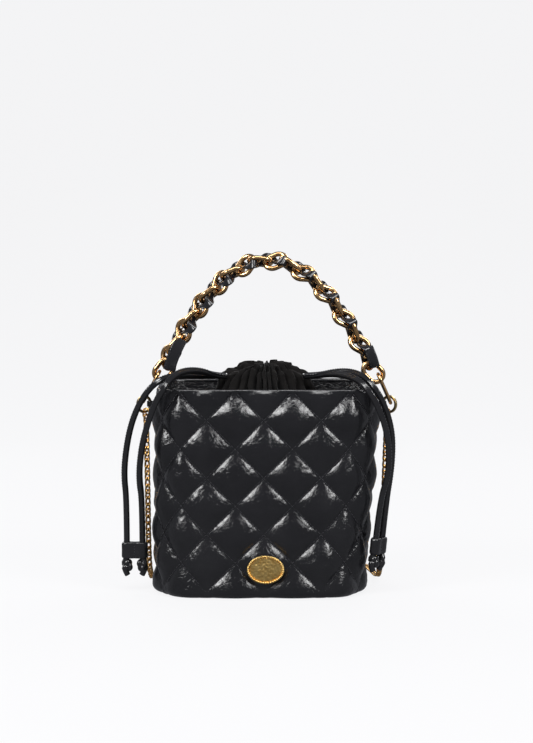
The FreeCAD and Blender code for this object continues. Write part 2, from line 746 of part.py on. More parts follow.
def export_nodes():
    """Check every object, then write one STEP file a node."""
    os.makedirs("parts", exist_ok=True)
    for obj in DOC.Objects:
        if "Invalid" in obj.State or "Error" in obj.State:
            raise RuntimeError("failed object: " + obj.Name)
    for node in NODES:
        shape = node.Shape
        if shape.isNull() or not shape.isValid() or not shape.Solids:
            raise RuntimeError("bad shape: " + node.Label)
        shape.exportStep("parts/%s.step" % node.Label)
        print("%-26s solids %d volume %9.1f" % (node.Label, len(shape.Solids), shape.Volume))


make_body_layers()
make_collar()
for cord in ROUTES:
    make_tube(cord, size("chain_width") if cord == "shoulder_chain" else size("cord_diameter"))
for name in ("front_left", "back_left", "front_right", "back_right"):
    make_knot("knot_" + name, "drawcord_" + name)
make_keeper("keeper_left", ("drawcord_back_left", "drawcord_front_left"))
make_keeper("keeper_right", ("drawcord_front_right", "drawcord_back_right"))
for hand, word in ((-1, "left"), (1, "right")):
    make_tab("side_tab_" + word, hand)
    make_ring("ring_" + word, hand)
make_handle_links()
make_joiners()
make_strip()
make_plaque()
DOC.recompute()
export_nodes()
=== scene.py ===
"""Looks of the quilted drawstring bucket bag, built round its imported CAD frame.

Everything is in metres in the CAD frame: +X right, -Y to the front, +Z up.
"""
import math

import bpy
import numpy as np
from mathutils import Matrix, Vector, noise


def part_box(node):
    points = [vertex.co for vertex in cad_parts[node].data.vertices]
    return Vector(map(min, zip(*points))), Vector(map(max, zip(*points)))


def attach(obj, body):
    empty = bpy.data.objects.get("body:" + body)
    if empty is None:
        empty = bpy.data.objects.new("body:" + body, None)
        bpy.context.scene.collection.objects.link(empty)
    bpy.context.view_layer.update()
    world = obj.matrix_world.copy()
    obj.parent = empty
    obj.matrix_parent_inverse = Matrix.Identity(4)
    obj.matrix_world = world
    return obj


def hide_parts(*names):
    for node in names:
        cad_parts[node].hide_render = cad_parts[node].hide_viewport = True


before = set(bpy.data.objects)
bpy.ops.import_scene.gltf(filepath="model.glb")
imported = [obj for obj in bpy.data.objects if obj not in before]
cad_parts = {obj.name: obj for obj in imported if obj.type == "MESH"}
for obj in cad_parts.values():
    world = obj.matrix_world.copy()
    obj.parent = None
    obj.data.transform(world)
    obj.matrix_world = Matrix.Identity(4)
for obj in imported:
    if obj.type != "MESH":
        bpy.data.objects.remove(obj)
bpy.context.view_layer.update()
SCENE = bpy.context.scene
MM = 0.001


# ---------------------------------------------------------------- camera
LENS = 88.3
SENSOR = 36.0
CAMERA_AT = (0.00575, -1.6, 0.288)
CAMERA_TILT = 3.48


def make_camera():
    """Long lens a little above the handle, looking slightly down."""
    data = bpy.data.cameras.new("camera")
    data.lens = LENS
    data.sensor_width = SENSOR
    data.clip_start = 0.05
    data.clip_end = 20.0
    camera = bpy.data.objects.new("camera", data)
    SCENE.collection.objects.link(camera)
    camera.location = CAMERA_AT
    camera.rotation_euler = (math.radians(90 - CAMERA_TILT), 0, 0)
    SCENE.camera = camera


make_camera()


# ---------------------------------------------------------------- mesh helpers
def place(obj, body, material, replaced=()):
    """Link a piece, let it ride on its body, give it its material and hide the CAD nodes it replaces."""
    if obj.name not in SCENE.collection.objects:
        SCENE.collection.objects.link(obj)
    obj.data.materials.clear()
    obj.data.materials.append(material)
    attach(obj, body)
    if replaced:
        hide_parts(*replaced)
    return obj


def mesh_object(name, points, faces):
    """A smooth mesh object from points (N x 3) and faces."""
    mesh = bpy.data.meshes.new(name)
    mesh.from_pydata([tuple(p) for p in points], [], [tuple(int(i) for i in f) for f in faces])
    mesh.validate()
    mesh.polygons.foreach_set("use_smooth", [True] * len(mesh.polygons))
    mesh.update()
    return bpy.data.objects.new(name, mesh)


def grid_faces(rows, columns, closed=True, flip=False):
    """Quads of a grid of points, row after row; closed joins its last column to its first."""
    faces = []
    for r in range(rows - 1):
        for c in range(columns if closed else columns - 1):
            a = r * columns + c
            b = r * columns + (c + 1) % columns
            quad = (a, b, b + columns, a + columns)
            faces.append(quad[::-1] if flip else quad)
    return faces


class Builder:
    """Collects several grids into one mesh."""

    def __init__(self):
        self.points = []
        self.faces = []
        self.count = 0

    def add(self, points, faces):
        """Add points and faces that count from the first of them."""
        self.points.append(np.asarray(points, float).reshape(-1, 3))
        self.faces += [tuple(i + self.count for i in f) for f in faces]
        self.count += len(self.points[-1])

    def add_grid(self, grid, closed=True, caps=False, flip=False):
        """Add a grid (rows x columns x 3); caps closes its first and last row."""
        rows, columns = grid.shape[:2]
        faces = grid_faces(rows, columns, closed, flip=flip)
        if caps:
            first = tuple(range(columns))[::-1]
            last = tuple((rows - 1) * columns + c for c in range(columns))
            faces += [first[::-1], last[::-1]] if flip else [first, last]
        self.add(grid.reshape(-1, 3), faces)

    def object(self, name):
        """The mesh object of all that was added."""
        return mesh_object(name, np.concatenate(self.points), self.faces)


def grid_object(name, grid, **how):
    """The mesh object of one grid."""
    builder = Builder()
    builder.add_grid(grid, **how)
    return builder.object(name)


def spline_line(name, route, fine=16):
    """Points of the smooth NURBS line through a route's control points, in metres."""
    curve = bpy.data.curves.new(name, "CURVE")
    curve.dimensions = "3D"
    curve.resolution_u = fine
    spline = curve.splines.new("NURBS")
    spline.points.add(len(route) - 1)
    for point, at in zip(spline.points, route):
        point.co = (*at, 1.0)
    spline.order_u = 3
    spline.use_endpoint_u = True
    bare = bpy.data.objects.new(name, curve)
    mesh = bpy.data.meshes.new_from_object(bare)
    line = np.array([v.co for v in mesh.vertices], float)
    bpy.data.meshes.remove(mesh)
    bpy.data.curves.remove(curve)
    return line


def along(line):
    """Distance of each of a line's points from its start."""
    return np.concatenate([[0], np.cumsum(np.linalg.norm(np.diff(line, axis=0), axis=1))])


def evenly(line, step):
    """A line again with points a step apart."""
    run = along(line)
    at = np.linspace(0, run[-1], max(2, int(round(run[-1] / step)) + 1))
    return np.stack([np.interp(at, run, line[:, k]) for k in range(3)], axis=1)


def unit(v):
    """Rows of v at length one."""
    return v / np.maximum(np.linalg.norm(v, axis=-1, keepdims=True), 1e-12)


def frames(line, side):
    """Tangent, normal and binormal along a line; the normal stays as near as it can to side."""
    tangent = unit(np.gradient(line, axis=0))
    side = np.broadcast_to(np.asarray(side, float), line.shape)
    normal = unit(side - (side * tangent).sum(1, keepdims=True) * tangent)
    return tangent, normal, np.cross(tangent, normal)


def carry(line, section, first, second):
    """Grid of a section (M x 2) set on two unit vectors at each point of a line."""
    return line[:, None] + section[:, :1] * first[:, None] + section[:, 1:] * second[:, None]


def sweep(line, section, side):
    """Grid of a section (M x 2, along normal and binormal) carried along a line."""
    _, normal, binormal = frames(line, side)
    return carry(line, section, normal, binormal)


def full_turn(count):
    """Angles evenly spaced round one turn."""
    return np.linspace(0, 2 * math.pi, count, endpoint=False)


def ring_section(radius, count=12):
    """Round section."""
    turn = full_turn(count)
    return np.stack([radius * np.cos(turn), radius * np.sin(turn)], axis=1)


def flat_section(width, thickness, count=24, powers=(0.6, 0.25)):
    """Section of a strap with rounded edges: through its thickness, then across its width."""
    turn = full_turn(count)
    return np.stack([thickness / 2 * np.sign(np.sin(turn)) * np.abs(np.sin(turn)) ** powers[0],
                     width / 2 * np.sign(np.cos(turn)) * np.abs(np.cos(turn)) ** powers[1]], axis=1)


def noise_at(points, scale, seed, octaves):
    """Fractal noise at points, about -1 to 1."""
    shift = Vector((seed, seed * 1.7, seed * 0.3))
    out = [noise.fractal(Vector(p) * scale + shift, 1.0, 2.0, octaves) for p in points.reshape(-1, 3)]
    return np.array(out).reshape(points.shape[:-1])


def blob(centre, axes, size):
    """A small rounded lozenge: points and faces of a coarse ellipsoid along three axes."""
    rings = []
    for lat in np.linspace(-0.5 * math.pi, 0.5 * math.pi, 6)[1:-1]:
        for lon in full_turn(8):
            rings.append((math.cos(lat) * math.cos(lon), math.cos(lat) * math.sin(lon), math.sin(lat)))
    local = np.array(rings + [(0, 0, -1), (0, 0, 1)]) * np.asarray(size)
    points = np.asarray(centre) + local @ np.asarray(axes)
    faces = grid_faces(4, 8)
    faces += [(32, (c + 1) % 8, c) for c in range(8)]
    faces += [(33, 24 + c, 24 + (c + 1) % 8) for c in range(8)]
    return points, faces


# ---------------------------------------------------------------- materials
def new_material(name):
    """A node material and its shader."""
    material = bpy.data.materials.new(name)
    material.use_nodes = True
    nodes = material.node_tree.nodes
    return material, nodes, material.node_tree.links, nodes["Principled BSDF"]


def noise_node(nodes, links, where, scale, detail=4.0, rough=0.55, distortion=0.0):
    """A noise texture in object space."""
    node = nodes.new("ShaderNodeTexNoise")
    node.inputs["Scale"].default_value = scale
    node.inputs["Detail"].default_value = detail
    node.inputs["Roughness"].default_value = rough
    node.inputs["Distortion"].default_value = distortion
    links.new(where, node.inputs["Vector"])
    return node.outputs["Fac"]


def ramp_node(nodes, links, value, stops):
    """A colour ramp over (position, colour) stops."""
    node = nodes.new("ShaderNodeValToRGB")
    links.new(value, node.inputs["Fac"])
    elements = node.color_ramp.elements
    while len(elements) < len(stops):
        elements.new(0.5)
    for element, (position, colour) in zip(elements, stops):
        element.position = position
        element.color = (*colour, 1.0) if len(colour) == 3 else colour
    return node.outputs["Color"]


def map_range(nodes, links, value, low, high, to_low, to_high):
    """A value carried from one range to another."""
    node = nodes.new("ShaderNodeMapRange")
    node.inputs["From Min"].default_value = low
    node.inputs["From Max"].default_value = high
    node.inputs["To Min"].default_value = to_low
    node.inputs["To Max"].default_value = to_high
    links.new(value, node.inputs["Value"])
    return node.outputs["Result"]


def bump_node(nodes, links, height, strength, depth, before=None):
    """A bump of a real depth, on top of an earlier one."""
    node = nodes.new("ShaderNodeBump")
    node.inputs["Strength"].default_value = strength
    node.inputs["Distance"].default_value = depth
    links.new(height, node.inputs["Height"])
    if before is not None:
        links.new(before, node.inputs["Normal"])
    return node.outputs["Normal"]


def object_space(nodes):
    """Coordinates in the row frame, in metres."""
    return nodes.new("ShaderNodeTexCoord").outputs["Object"]


def cell_edges(nodes, links, where, scale, warp, warp_scale):
    """Distance to the edges of warped cells: a net of creases."""
    bend = nodes.new("ShaderNodeTexNoise")
    bend.inputs["Scale"].default_value = warp_scale
    bend.inputs["Detail"].default_value = 2.0
    links.new(where, bend.inputs["Vector"])
    shifted = nodes.new("ShaderNodeVectorMath")
    shifted.operation = "MULTIPLY_ADD"
    shifted.inputs[1].default_value = (warp, warp, warp)
    links.new(bend.outputs["Color"], shifted.inputs[0])
    links.new(where, shifted.inputs[2])
    cells = nodes.new("ShaderNodeTexVoronoi")
    cells.feature = "DISTANCE_TO_EDGE"
    cells.inputs["Scale"].default_value = scale
    links.new(shifted.outputs[0], cells.inputs["Vector"])
    return cells.outputs["Distance"]


def leather(name, colour, high, rough, crinkle, grain=0.5, coat=0.25):
    """Black leather: tone and gloss vary, creases cross it, and a fine grain lies under the finish."""
    material, nodes, links, shader = new_material(name)
    where = object_space(nodes)
    cloudy = noise_node(nodes, links, where, 26.0, 5.0, 0.6)
    links.new(ramp_node(nodes, links, cloudy, [(0.3, colour), (0.75, high)]), shader.inputs["Base Color"])
    patchy = noise_node(nodes, links, where, 60.0, 5.0, 0.7, 0.8)
    links.new(map_range(nodes, links, patchy, 0.3, 0.7, rough[0], rough[1]), shader.inputs["Roughness"])
    creases = cell_edges(nodes, links, where, 190.0, 0.016, 70.0)
    folds = noise_node(nodes, links, where, 75.0, 5.0, 0.62, 1.2)
    lines = noise_node(nodes, links, where, 210.0, 3.0, 0.6, 2.4)
    pores = noise_node(nodes, links, where, 900.0, 3.0, 0.6)
    normal = bump_node(nodes, links, folds, 1.0, crinkle * 0.0011)
    normal = bump_node(nodes, links, lines, 1.0, crinkle * 0.00034, normal)
    normal = bump_node(nodes, links, map_range(nodes, links, creases, 0.0, 0.1, 0.0, 1.0), 1.0,
                       crinkle * 0.00011, normal)
    normal = bump_node(nodes, links, pores, 1.0, grain * 0.00006, normal)
    links.new(normal, shader.inputs["Normal"])
    shader.inputs["IOR"].default_value = 1.5
    shader.inputs["Coat Weight"].default_value = coat
    shader.inputs["Coat Roughness"].default_value = 0.1
    return material


def metal(name, bright, dark, rough, tarnish_scale=110.0, dent=0.0):
    """Plated metal: tarnish gathers in patches, and fine scratches break up the shine."""
    material, nodes, links, shader = new_material(name)
    where = object_space(nodes)
    patches = noise_node(nodes, links, where, tarnish_scale, 6.0, 0.7, 0.4)
    links.new(ramp_node(nodes, links, patches, [(0.36, dark), (0.56, bright)]), shader.inputs["Base Color"])
    wear = noise_node(nodes, links, where, 420.0, 4.0, 0.6)
    links.new(map_range(nodes, links, wear, 0.3, 0.75, rough[0], rough[1]), shader.inputs["Roughness"])
    scratch = noise_node(nodes, links, where, 1500.0, 2.0, 0.5)
    normal = bump_node(nodes, links, scratch, 0.5, 0.000012)
    if dent:
        hammered = cell_edges(nodes, links, where, 330.0, 0.002, 300.0)
        normal = bump_node(nodes, links, hammered, 1.0, dent, normal)
    links.new(normal, shader.inputs["Normal"])
    shader.inputs["Metallic"].default_value = 1.0
    return material


def cloth(name, colour, high, weave=1400.0):
    """Matte woven cloth with a little sheen."""
    material, nodes, links, shader = new_material(name)
    where = object_space(nodes)
    uneven = noise_node(nodes, links, where, 120.0, 4.0, 0.6)
    links.new(ramp_node(nodes, links, uneven, [(0.3, colour), (0.75, high)]), shader.inputs["Base Color"])
    threads = nodes.new("ShaderNodeTexWave")
    threads.inputs["Scale"].default_value = weave / 6.0
    threads.inputs["Distortion"].default_value = 1.5
    links.new(where, threads.inputs["Vector"])
    fuzz = noise_node(nodes, links, where, weave, 3.0, 0.6)
    normal = bump_node(nodes, links, threads.outputs["Fac"], 0.5, 0.00012)
    links.new(bump_node(nodes, links, fuzz, 0.7, 0.00015, normal), shader.inputs["Normal"])
    shader.inputs["Roughness"].default_value = 0.85
    shader.inputs["Specular IOR Level"].default_value = 0.12
    shader.inputs["Sheen Weight"].default_value = 0.06
    shader.inputs["Sheen Roughness"].default_value = 0.5
    return material


BODY_LEATHER = leather("body_leather", (0.005, 0.005, 0.006), (0.01, 0.01, 0.0115), (0.1, 0.19),
                       0.5, 0.35)
FACING_LEATHER = leather("facing_leather", (0.005, 0.005, 0.006), (0.012, 0.012, 0.013), (0.16, 0.3), 1.3)
TRIM_LEATHER = leather("trim_leather", (0.007, 0.007, 0.008), (0.012, 0.012, 0.014), (0.18, 0.26), 0.12, 0.8)
CORD_LEATHER = leather("cord_leather", (0.006, 0.006, 0.007), (0.011, 0.011, 0.012), (0.1, 0.18),
                       0.12, 0.4, 0.6)
STRIP_LEATHER = leather("strip_leather", (0.006, 0.006, 0.007), (0.011, 0.011, 0.013), (0.18, 0.28), 0.12)
THREAD = cloth("thread", (0.02, 0.02, 0.023), (0.045, 0.045, 0.05), 3000.0)
COLLAR_CLOTH = cloth("collar_cloth", (0.004, 0.0035, 0.0035), (0.008, 0.007, 0.0065))
LINING_CLOTH = cloth("lining", (0.016, 0.015, 0.015), (0.026, 0.024, 0.024))
HANDLE_METAL = metal("handle_metal", (0.78, 0.5, 0.24), (0.46, 0.26, 0.11), (0.14, 0.24))
CHAIN_METAL = metal("chain_metal", (0.85, 0.52, 0.19), (0.55, 0.3, 0.1), (0.2, 0.34))
RING_METAL = metal("ring_metal", (0.66, 0.5, 0.24), (0.42, 0.3, 0.13), (0.24, 0.4))
PLAQUE_METAL = metal("plaque_metal", (0.95, 0.66, 0.24), (0.72, 0.44, 0.13), (0.26, 0.42), 200.0, 0.0003)


# ---------------------------------------------------------------- drawcords
# The routes of the cords, in metres: control points of their smooth lines.
STRANDS = {
    "front_left": [
        (-0.029, -0.015, 0.1876), (-0.039, -0.0168, 0.1884), (-0.052, -0.029, 0.1932),
        (-0.066, -0.043, 0.1935), (-0.076, -0.057, 0.188), (-0.082, -0.0655, 0.1795),
        (-0.089, -0.0635, 0.167), (-0.0955, -0.057, 0.149), (-0.101, -0.049, 0.129),
        (-0.1042, -0.038, 0.104), (-0.1025, -0.021, 0.079), (-0.1025, -0.021, 0.0285)],
    "back_left": [
        (-0.029, -0.0005, 0.1874), (-0.045, -0.012, 0.1873), (-0.062, -0.027, 0.1888),
        (-0.076, -0.043, 0.189), (-0.0875, -0.0545, 0.1855), (-0.097, -0.057, 0.1755),
        (-0.105, -0.052, 0.1615), (-0.111, -0.0455, 0.145), (-0.1154, -0.0375, 0.124),
        (-0.1178, -0.028, 0.102), (-0.1161, -0.021, 0.079), (-0.1161, -0.021, 0.0285)],
    "front_right": [
        (0.038, -0.0155, 0.1874), (0.049, -0.0175, 0.1882), (0.062, -0.029, 0.1902),
        (0.075, -0.0445, 0.1896), (0.086, -0.06, 0.1855), (0.0945, -0.0665, 0.1755),
        (0.101, -0.064, 0.1625), (0.1065, -0.061, 0.148), (0.11, -0.0565, 0.13), (0.1102, -0.05, 0.106),
        (0.1031, -0.041, 0.08), (0.0986, -0.041, 0.035)],
    "back_right": [
        (0.038, -0.0016, 0.1874), (0.049, -0.0087, 0.1878), (0.0654, -0.0226, 0.1916),
        (0.0796, -0.0386, 0.1924), (0.091, -0.053, 0.188), (0.0995, -0.061, 0.1775),
        (0.1055, -0.059, 0.166), (0.1105, -0.0545, 0.152), (0.1135, -0.0495, 0.136),
        (0.1134, -0.042, 0.112), (0.1095, -0.029, 0.0794), (0.105, -0.029, 0.0344)],
}
CORD_DIAMETER = 5.6 * MM
CORD_RIDGE = 0.7 * MM
KNOT_UNIT = 1.18 * MM
KNOT_RADIUS = 2.5 * MM


def ridged_section():
    """Rolled leather: round, with the stitched ridge along one side."""
    turn = full_turn(28)
    away = np.minimum(turn, 2 * math.pi - turn)
    radius = CORD_DIAMETER / 2 - 0.15 * MM + CORD_RIDGE * np.exp(-(away / 0.24) ** 2)
    radius = radius - 0.3 * MM * np.exp(-((away - 0.55) / 0.16) ** 2)
    return np.stack([radius * np.cos(turn), radius * np.sin(turn)], axis=1)


def stitch_row(builder, line, side, lift, pitch=2.6 * MM, size=(0.42, 0.36, 0.85)):
    """Stitches along a line, standing off it towards side."""
    points = evenly(line, pitch)[1:-1]
    tangent, normal, binormal = frames(points, side)
    for p, t, n, b in zip(points, tangent, normal, binormal):
        builder.add(*blob(p + n * lift, (n, b, t), np.array(size) * MM))


def knot_line(top, down, aside):
    """An overhand knot below a strand's end, with its tail: a trefoil opened at its outer lobe."""
    depth = np.cross(down, aside)
    centre = top + down * 6.0 * MM
    turns = np.linspace(math.pi + 0.42, 3 * math.pi - 0.42, 34)
    across = -(np.cos(turns) - 2 * np.cos(2 * turns)) * KNOT_UNIT
    up = (np.sin(turns) + 2 * np.sin(2 * turns)) * KNOT_UNIT
    deep = -np.sin(3 * turns) * KNOT_UNIT * 1.25
    loop = centre + aside * across[:, None] - down * up[:, None] + depth * deep[:, None]
    start = [top - down * 2.0 * MM, top + down * 0.8 * MM + aside * 0.8 * MM]
    tail = [centre + down * 5.6 * MM + aside * 1.0 * MM, centre + down * 8.5 * MM - aside * 0.6 * MM]
    return np.concatenate([start, loop, tail])


def make_strand(name):
    """One hanging half of a drawcord with its stitches and its knot."""
    route = STRANDS[name]
    line = evenly(spline_line("strand", route), 1.6 * MM)
    facing = Vector((-0.75 if "left" in name else 0.75, -1.0, 0.5)).normalized()
    strand = grid_object("drawcord_leather_" + name, sweep(line, ridged_section(), facing), caps=True)
    place(strand, "bag", CORD_LEATHER, ["drawcord_" + name])
    builder = Builder()
    stitch_row(builder, line[2:-2], facing, CORD_DIAMETER / 2 + CORD_RIDGE - 0.2 * MM)
    stitches = place(builder.object("drawcord_stitches_" + name), "bag", THREAD)
    top = line[-1]
    down = unit(line[-1] - line[-5])
    hand = 1.0 if name in ("front_left", "back_right") else -1.0
    aside = unit(np.array([hand, -0.25, 0.0]) - down * np.dot(down, (hand, -0.25, 0.0)))
    smooth = evenly(spline_line("knot", knot_line(top, down, aside), 6), 0.8 * MM)
    knot = grid_object("knot_leather_" + name, sweep_free(smooth, ring_section(KNOT_RADIUS, 16)), caps=True)
    place(knot, "bag", CORD_LEATHER, ["knot_" + name])


def sweep_free(line, section):
    """Carry a section along a line without twisting it, whichever way the line turns."""
    tangent = unit(np.gradient(line, axis=0))
    normal = unit(np.cross(tangent[0], (0.3, 0.9, 0.2)))
    grid = []
    for p, t in zip(line, tangent):
        normal = unit(normal - np.dot(normal, t) * t)
        binormal = np.cross(t, normal)
        grid.append(p + section[:, :1] * normal + section[:, 1:] * binormal)
    return np.array(grid)


for strand_name in STRANDS:
    make_strand(strand_name)


# ---------------------------------------------------------------- shoulder chain
CHAIN_ROUTE = [
    (-0.100, -0.0048, 0.152), (-0.0992, -0.0042, 0.112), (-0.0988, -0.0024, 0.072), (-0.0986, 0.0, 0.040),
    (-0.0982, 0.0055, 0.017), (-0.0972, 0.019, 0.0046), (-0.0956, 0.040, 0.003), (-0.089, 0.063, 0.003),
    (-0.071, 0.081, 0.003), (-0.040, 0.086, 0.003), (0.0, 0.0815, 0.003), (0.038, 0.084, 0.003),
    (0.067, 0.082, 0.003), (0.0795, 0.102, 0.003), (0.068, 0.123, 0.003), (0.038, 0.125, 0.003),
    (0.0, 0.121, 0.003), (-0.038, 0.125, 0.003), (-0.068, 0.122, 0.003), (-0.0805, 0.142, 0.003),
    (-0.069, 0.163, 0.003), (-0.038, 0.161, 0.003), (0.0, 0.164, 0.003), (0.036, 0.160, 0.003),
    (0.066, 0.151, 0.003), (0.088, 0.128, 0.003), (0.098, 0.097, 0.003), (0.103, 0.064, 0.003),
    (0.1055, 0.036, 0.0034), (0.1064, 0.016, 0.009), (0.107, 0.005, 0.027), (0.1086, 0.001, 0.056),
    (0.1098, -0.002, 0.096), (0.1115, -0.0048, 0.152)]
CHAIN_WIDTH = 5.6 * MM
CHAIN_WIRE = 0.95 * MM
CHAIN_PITCH = 5.6 * MM
CHAIN_LEAN = math.radians(8)
CHAIN_TWIST = math.radians(34)


def oval_loop(length, width, count=26):
    """Centreline of an oval link in a plane: x along it, y across."""
    turn = full_turn(count)
    straight = (length - width) / 2
    x = width / 2 * np.cos(turn) + straight * np.tanh(4 * np.cos(turn))
    return np.stack([x, width / 2 * np.sin(turn)], axis=1)


def link_grid(centre, tangent, across, lift, length, width, wire, twist, around=8):
    """One curb link: an oval of round wire, its two ends twisted about the chain's line."""
    loop = oval_loop(length, width)
    angle = twist * loop[:, 0] / (length / 2)
    wide = across * np.cos(angle)[:, None] + lift * np.sin(angle)[:, None]
    line = centre + tangent * loop[:, :1] + wide * loop[:, 1:]
    before = np.roll(line, 1, axis=0)
    after = np.roll(line, -1, axis=0)
    run = unit(after - before)
    out = unit(line - centre - run * ((line - centre) * run).sum(1, keepdims=True))
    third = np.cross(run, out)
    return carry(line, ring_section(wire, around), out, third)


def add_closed_grid(builder, grid):
    """Add a grid that is closed both ways."""
    rows, columns = grid.shape[:2]
    faces = []
    for r in range(rows):
        for c in range(columns):
            a, b = r * columns + c, r * columns + (c + 1) % columns
            up, over = (r + 1) % rows * columns + c, (r + 1) % rows * columns + (c + 1) % columns
            faces.append((a, up, over, b))
    builder.add(grid.reshape(-1, 3), faces)


def make_shoulder_chain():
    """The long thin curb chain, from the left ring down, along the floor and up to the right ring."""
    line = evenly(spline_line("chain", CHAIN_ROUTE), 1.2 * MM)
    run = along(line)
    count = int(run[-1] / CHAIN_PITCH)
    builder = Builder()
    tangents, normals, binormals = frames(line, (0.0, -0.35, 1.0))
    upright = np.abs(tangents[:, 2:]) > 0.72
    turned_normal, turned_binormal = frames(line, (0.35, -1.0, 0.0))[1:]
    normals = np.where(upright, turned_normal, normals)
    binormals = np.where(upright, turned_binormal, binormals)
    for k in range(count):
        at = (k + 0.5) * run[-1] / count
        i = int(np.argmin(np.abs(run - at)))
        across = binormals[i] * math.cos(CHAIN_LEAN) + normals[i] * math.sin(CHAIN_LEAN)
        lift = np.cross(tangents[i], across)
        grid = link_grid(line[i], tangents[i], across, lift, CHAIN_PITCH + 2.4 * CHAIN_WIRE,
                         CHAIN_WIDTH - 2.2 * CHAIN_WIRE, CHAIN_WIRE, CHAIN_TWIST)
        add_closed_grid(builder, grid)
    chain = place(builder.object("shoulder_chain_links"), "bag", CHAIN_METAL,
                  ["shoulder_chain"])
    for side, end in (("left", line[0]), ("right", line[-1])):
        builder = Builder()
        across = np.array([0.86, -0.5, 0.0]) if side == "left" else np.array([0.86, 0.5, 0.0])
        grid = link_grid(end + (0, 0, 2.2 * MM), np.array([0, 0, 1.0]), across, np.cross((0, 0, 1.0), across),
                         8.6 * MM, 6.2 * MM, 0.75 * MM, 0.0, 12)
        add_closed_grid(builder, grid)
        place(builder.object("shoulder_chain_end_" + side), "bag", CHAIN_METAL)


make_shoulder_chain()


# ---------------------------------------------------------------- quilted body
# Plan of the bag: a rounded rectangle that grows from the base to the rim and leans right.
RIM_HEIGHT = 178 * MM
RIM_PLAN = np.array([100.0, 62.0, 30.0]) * MM
BASE_PLAN = np.array([94.0, 60.0, 46.0]) * MM
RIM_SHIFT = 6.5 * MM
FRONT_LIFT = 1.4 * MM
BACK_LIFT = 2.4 * MM
BELLY = 5 * MM
BELLY_TOP = 110 * MM
FOLD_DEPTH = 4.2 * MM
FOLD_FROM = 156 * MM
# Quilting: crossings of the stitch lines repeat this far across and up.
QUILT_ACROSS = 48.9 * MM
QUILT_UP = 48.4 * MM
QUILT_X = 3.5 * MM
QUILT_Z = 6.3 * MM
QUILTS_ROUND = 12
QUILT_FLAT = 50 * MM
QUILT_DEPTH = 4.8 * MM
STITCH_DIP = 0.5 * MM
PUCKER_DEPTH = 0.26 * MM
DENT_DEPTH = 0.7 * MM
SLUMP_DEPTH = 1.3 * MM
CREASE_DEPTH = 0.5 * MM
PILLOW_POWER = 2.1
LINE_SPACING = QUILT_ACROSS * QUILT_UP / math.hypot(QUILT_ACROSS, QUILT_UP)
SEAM_HEIGHT = 1.6 * MM
ROLL = 6 * MM
FACING_INSET = 6.5 * MM
EDGE_ROLL = 1.8 * MM
EDGE_RISE = 2.4 * MM
EDGE_HEIGHT = 175.0 * MM
COLUMNS = 420


def plan_point(u, height, inset=0.0):
    """Point, outward normal and distance round the wall; u runs once round from the front's middle."""
    share = height / RIM_HEIGHT
    half_width, half_depth, corner = (BASE_PLAN[k] + (RIM_PLAN[k] - BASE_PLAN[k]) * share - inset
                                      for k in range(3))
    flat_x, flat_y = half_width - corner, half_depth - corner
    quarter = flat_x + math.pi / 2 * corner + flat_y
    step = np.floor(u * 4) % 4
    run = (u * 4 - np.floor(u * 4)) * quarter
    run = np.where(step % 2 == 1, quarter - run, run)
    angle = np.clip((run - flat_x) / corner, 0, math.pi / 2)
    x = np.minimum(run, flat_x) + corner * np.sin(angle)
    y = -flat_y - corner * np.cos(angle) + np.maximum(run - flat_x - math.pi / 2 * corner, 0)
    sign_x = np.where(step >= 2, -1.0, 1.0)
    sign_y = np.where((step == 1) | (step == 2), -1.0, 1.0)
    point = np.stack([x * sign_x + RIM_SHIFT * share, y * sign_y, height + 0 * x], axis=-1)
    normal = np.stack([np.sin(angle) * sign_x, -np.cos(angle) * sign_y, 0 * x], axis=-1)
    sag = BELLY * (1 - min(height / BELLY_TOP, 1.0)) ** 1.5
    point = point + normal * (sag * normal[:, 1:2] ** 2)
    from_front = np.where(u > 0.5, u - 1, u) * 4 * quarter
    return point, normal, from_front, 4 * quarter


def quilt_phases(from_front, around, height):
    """Numbers of the two families of stitch lines at points of the wall: whole on a stitch line."""
    reach = np.abs(from_front)
    first = QUILT_FLAT / QUILT_ACROSS
    rest = (QUILTS_ROUND / 2 - first) * (reach - QUILT_FLAT) / (around / 2 - QUILT_FLAT)
    turns = np.where(reach < QUILT_FLAT, reach / QUILT_ACROSS, first + rest) * np.sign(from_front)
    fade = np.clip((120 * MM - reach) / (60 * MM), 0, 1)
    turns = turns + (RIM_SHIFT * height / RIM_HEIGHT - QUILT_X) / QUILT_ACROSS * fade
    rows = (height - QUILT_Z) / QUILT_UP
    return turns + rows, turns - rows


def pillow(distance):
    """Rise of the padding from a stitch line to the middle of a quilt, 0 to 1."""
    share = np.clip(distance / (LINE_SPACING / 2), 0, 1)
    return 1 - (1 - share) ** PILLOW_POWER


